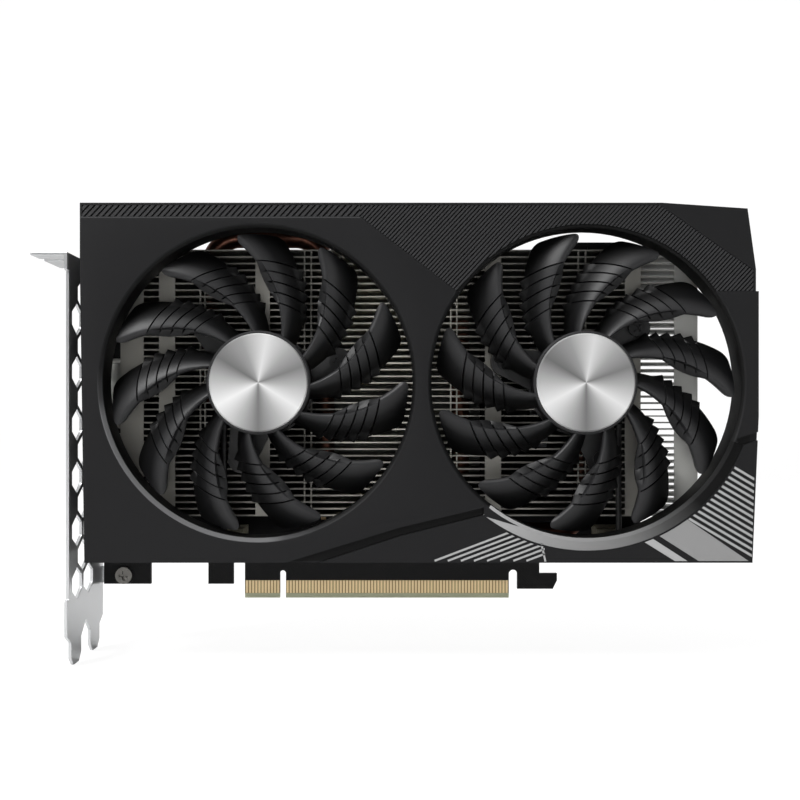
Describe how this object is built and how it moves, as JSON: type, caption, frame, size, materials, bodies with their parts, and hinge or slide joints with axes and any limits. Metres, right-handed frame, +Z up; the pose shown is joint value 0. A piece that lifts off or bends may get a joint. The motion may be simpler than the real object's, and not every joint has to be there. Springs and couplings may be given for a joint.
{
  "type": "graphics card",
  "caption": "Dual-slot graphics card: circuit board with edge connector, finned heat-pipe cooler, angular shroud, spinning fans and a vented mounting bracket.",
  "frame": {"origin": "centre of the edge connector's key notch, at the connector's lower edge, in the middle of the board's thickness", "axes": "+X along the card away from the bracket, -Y out of the fans' side, +Z up from the connector to the card's top edge"},
  "size_m": [0.2088, 0.0441, 0.1339],
  "materials": {
    "board_black": "dark solder-mask laminate, satin",
    "contact_gold": "gold-plated, satin",
    "package_green": "dark green laminate",
    "die_grey": "polished silicon",
    "paste_grey": "soft grey paste",
    "chip_black": "moulded, satin",
    "pad_blue": "soft pad",
    "choke_grey": "moulded iron powder",
    "can_aluminium": "satin",
    "ceramic_tan": "ceramic",
    "socket_black": "moulded nylon",
    "socket_white": "moulded nylon",
    "lead_black": "sleeved wire",
    "port_steel": "nickel-plated, satin",
    "bracket_steel": "bright plated sheet steel",
    "screw_steel": "zinc-plated",
    "screw_black": "blackened steel",
    "plate_steel": "plain sheet",
    "base_aluminium": "milled, satin",
    "fin_aluminium": "plain sheet",
    "pipe_copper": "brown, satin",
    "shroud_black": "fine matte, with satin ribs and grey printed bars",
    "frame_black": "moulded, satin",
    "blade_black": "satin black",
    "cap_aluminium": "brushed in rings",
    "bearing_brass": "sintered",
    "core_steel": "laminated",
    "coil_copper": "enamelled wire",
    "board_green": "solder mask",
    "yoke_steel": "rolled",
    "magnet_grey": "bonded ferrite",
    "shaft_steel": "ground",
    "clip_nylon": "nylon"
  },
  "bodies": {
    "card": {"pcb": "board_black", "edge_contacts": "contact_gold", "gpu_package": "package_green", "gpu_die": "die_grey", "thermal_paste": "paste_grey", "memory_chips": "chip_black", "thermal_pads": "pad_blue", "power_chokes": "choke_grey", "power_stages": "chip_black", "polymer_capacitors": "can_aluminium", "ceramic_capacitors": "ceramic_tan", "control_chips": "chip_black", "power_socket": "socket_black", "power_socket_pins": "contact_gold", "fan_sockets": "socket_white", "fan_plugs": "socket_white", "fan_leads": "lead_black", "video_port_shells": "port_steel", "video_port_tongues": "socket_black", "io_bracket": "bracket_steel", "bracket_screws": "screw_steel", "retention_bracket": "plate_steel", "cooler_screws": "screw_steel", "cooler_springs": "screw_steel", "base_plate": "base_aluminium", "upper_heat_pipe": "pipe_copper", "lower_heat_pipe": "pipe_copper", "cooling_fins": "fin_aluminium", "fan_bosses": "frame_black", "fan_frame_screws": "screw_black", "fan_bearings": "bearing_brass", "stator_cores": "core_steel", "stator_coils": "coil_copper", "fan_circuit_boards": "board_green", "shroud": "shroud_black", "shroud_screws": "screw_black", "left_fan_frame": "frame_black", "right_fan_frame": "frame_black"},
    "left_fan": {"left_fan_rotor": "blade_black", "left_fan_cap": "cap_aluminium", "left_fan_yoke": "yoke_steel", "left_fan_magnet": "magnet_grey", "left_fan_shaft": "shaft_steel", "left_shaft_clip": "clip_nylon"},
    "right_fan": {"right_fan_rotor": "blade_black", "right_fan_cap": "cap_aluminium", "right_fan_yoke": "yoke_steel", "right_fan_magnet": "magnet_grey", "right_fan_shaft": "shaft_steel", "right_shaft_clip": "clip_nylon"}
  },
  "joints": [
    {"name": "left_fan_spin", "type": "hinge", "parent": "card", "child": "left_fan", "pos_m": [-0.0034, -0.032, 0.0677], "axis": [0, -1, 0], "continuous": true},
    {"name": "right_fan_spin", "type": "hinge", "parent": "card", "child": "right_fan", "pos_m": [0.0909, -0.032, 0.0677], "axis": [0, 1, 0], "continuous": true}
  ]
}
